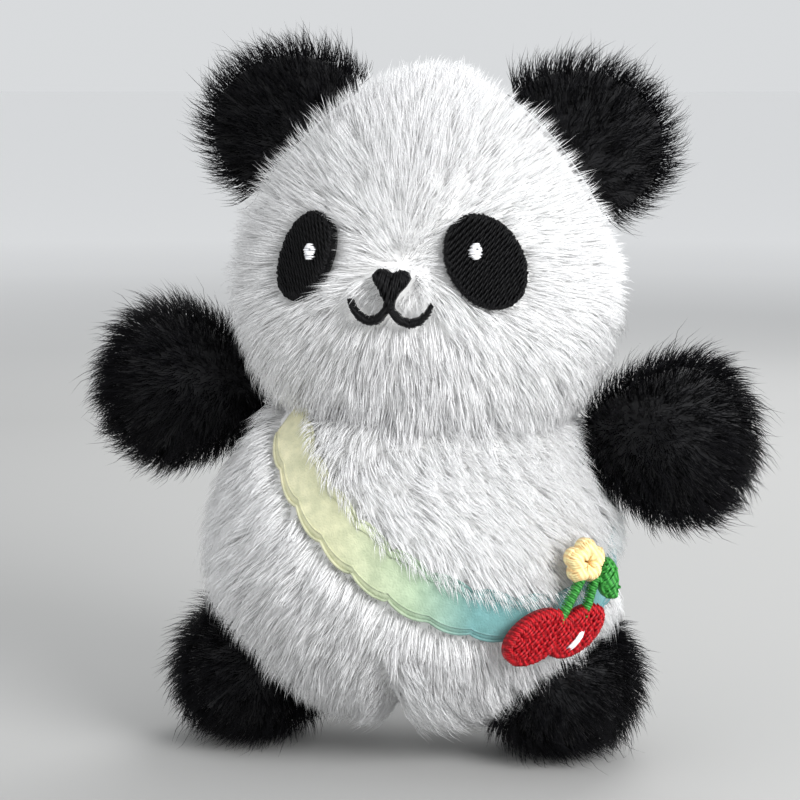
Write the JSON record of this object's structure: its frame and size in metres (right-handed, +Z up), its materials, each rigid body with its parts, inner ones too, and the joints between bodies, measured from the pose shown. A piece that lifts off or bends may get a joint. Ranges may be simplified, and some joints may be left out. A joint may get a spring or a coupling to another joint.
{
  "type": "plush keychain",
  "caption": "Stuffed plush panda with furry cover, embroidered face, lace sash and cherry patch, hung from a jump ring and swivel clasp.",
  "frame": {"origin": "on the ground, under the middle of the whole object's box", "axes": "+Z up, the face looks along -Y, +X is the toy's own left"},
  "size_m": [0.117, 0.0666, 0.12],
  "materials": {
    "plush_white": "matte",
    "plush_black": "matte",
    "stuffing": "matte",
    "thread_black": "matte",
    "thread_white": "matte",
    "thread_red": "matte",
    "thread_green": "matte",
    "thread_yellow": "matte",
    "lace": "matte",
    "webbing": "matte",
    "nickel": "polished",
    "spring_steel": "satin"
  },
  "bodies": {
    "toy": {"head_cover": "plush_white", "head_stuffing": "stuffing", "body_cover": "plush_white", "body_stuffing": "stuffing", "neck_seam": "thread_white", "belly_seam": "thread_white", "nose": "thread_black", "mouth": "thread_black", "sash_ribbon": "lace", "cherry_inner": "thread_red", "cherry_outer": "thread_red", "cherry_streak": "thread_white", "cherry_flower": "thread_yellow", "cherry_leaf": "thread_green", "stem_inner": "thread_green", "stem_outer": "thread_green", "ear_right": "plush_black", "ear_left": "plush_black", "eye_right": "thread_black", "eye_left": "thread_black", "eye_glint_right": "thread_white", "eye_glint_left": "thread_white", "leg_right_cover": "plush_black", "leg_left_cover": "plush_black", "leg_right_stuffing": "stuffing", "leg_left_stuffing": "stuffing", "hanging_tab": "webbing"},
    "arm_right": {"arm_right_cover": "plush_black", "arm_right_stuffing": "stuffing"},
    "arm_left": {"arm_left_cover": "plush_black", "arm_left_stuffing": "stuffing"},
    "ring": {"jump_ring": "nickel"},
    "eyelet": {"swivel_eye": "nickel"},
    "hook": {"clasp_hook": "nickel", "gate_pin": "nickel", "gate_spring": "spring_steel"},
    "gate": {"gate_lever": "nickel"}
  },
  "joints": [
    {"name": "arm_right_swing", "type": "hinge", "parent": "toy", "child": "arm_right", "pos_m": [-0.03038, -0.00248, 0.06106], "axis": [0.0523, 0, 0.9986], "range_deg": [-20, 20], "stiffness_Nm_per_rad": 0.004},
    {"name": "arm_left_swing", "type": "hinge", "parent": "toy", "child": "arm_left", "pos_m": [0.02839, -0.00248, 0.05518], "axis": [-0.0523, 0, -0.9986], "range_deg": [-20, 20], "stiffness_Nm_per_rad": 0.004},
    {"name": "ring_swing", "type": "hinge", "parent": "toy", "child": "ring", "pos_m": [0.00126, 0.02852, 0.1012], "axis": [1, 0, 0], "range_deg": [-1, 100]},
    {"name": "eyelet_swing", "type": "hinge", "parent": "ring", "child": "eyelet", "pos_m": [0.00126, 0.02852, 0.0852], "axis": [1, 0, 0], "range_deg": [-1, 70]},
    {"name": "hook_swivel", "type": "hinge", "parent": "eyelet", "child": "hook", "pos_m": [0.00126, 0.02852, 0.07495], "axis": [0, 0, 1], "continuous": true},
    {"name": "gate_open", "type": "hinge", "parent": "hook", "child": "gate", "pos_m": [0.00515, 0.02852, 0.06805], "axis": [0, 1, 0], "range_deg": [0, 22], "stiffness_Nm_per_rad": 0.001, "springref_deg": -17.19}
  ]
}
